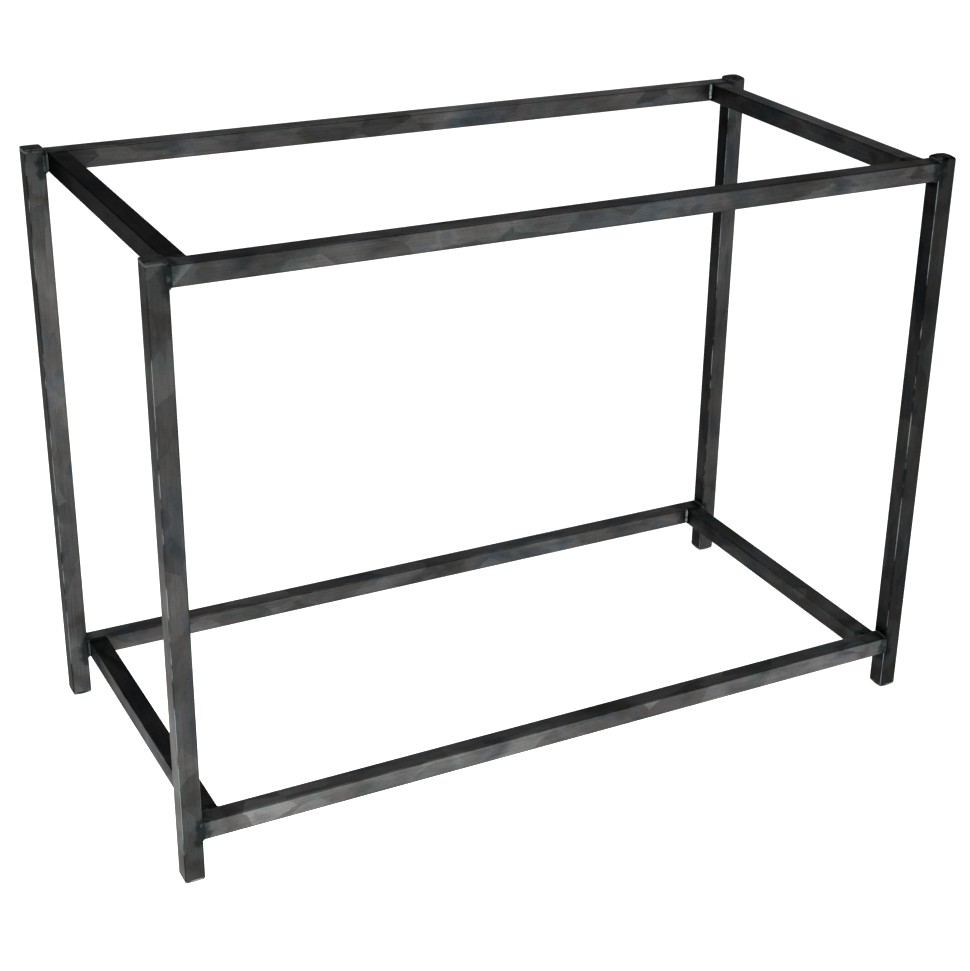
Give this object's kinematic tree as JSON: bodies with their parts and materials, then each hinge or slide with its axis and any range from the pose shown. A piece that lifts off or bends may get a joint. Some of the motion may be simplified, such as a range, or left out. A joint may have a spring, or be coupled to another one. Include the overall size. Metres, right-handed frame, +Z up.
{
  "type": "firewood log rack",
  "caption": "Open rectangular rack of welded square steel tube, with an upper and a lower ring of rails between upright posts that stand on short legs.",
  "frame": {"origin": "on the floor, under the middle of the rack", "axes": "+X along the front from left to right, +Y from front to back, +Z up"},
  "size_m": [1.05, 0.5, 0.77],
  "materials": {
    "tube_steel": "bare hot-rolled mild steel with its dark mill scale",
    "plate_steel": "bare mild steel plate, edges dressed by grinder",
    "weld_metal": "bare weld metal, rippled beads and ground seams"
  },
  "bodies": {
    "root": {"post_front_left": "tube_steel", "post_front_right": "tube_steel", "post_back_left": "tube_steel", "post_back_right": "tube_steel", "top_rail_front": "tube_steel", "top_rail_back": "tube_steel", "base_rail_front": "tube_steel", "base_rail_back": "tube_steel", "top_cross_rail_left": "tube_steel", "top_cross_rail_right": "tube_steel", "base_cross_rail_left": "tube_steel", "base_cross_rail_right": "tube_steel", "post_cap_front_left": "plate_steel", "post_cap_front_right": "plate_steel", "post_cap_back_left": "plate_steel", "post_cap_back_right": "plate_steel", "foot_plate_front_left": "plate_steel", "foot_plate_front_right": "plate_steel", "foot_plate_back_left": "plate_steel", "foot_plate_back_right": "plate_steel", "weld_top_front_left_post": "weld_metal", "weld_top_front_left_cross": "weld_metal", "weld_top_front_right_post": "weld_metal", "weld_top_front_right_cross": "weld_metal", "weld_top_back_left_post": "weld_metal", "weld_top_back_left_cross": "weld_metal", "weld_top_back_right_post": "weld_metal", "weld_top_back_right_cross": "weld_metal", "weld_base_front_left_post": "weld_metal", "weld_base_front_left_cross": "weld_metal", "weld_base_front_right_post": "weld_metal", "weld_base_front_right_cross": "weld_metal", "weld_base_back_left_post": "weld_metal", "weld_base_back_left_cross": "weld_metal", "weld_base_back_right_post": "weld_metal", "weld_base_back_right_cross": "weld_metal"}
  },
  "joints": []
}
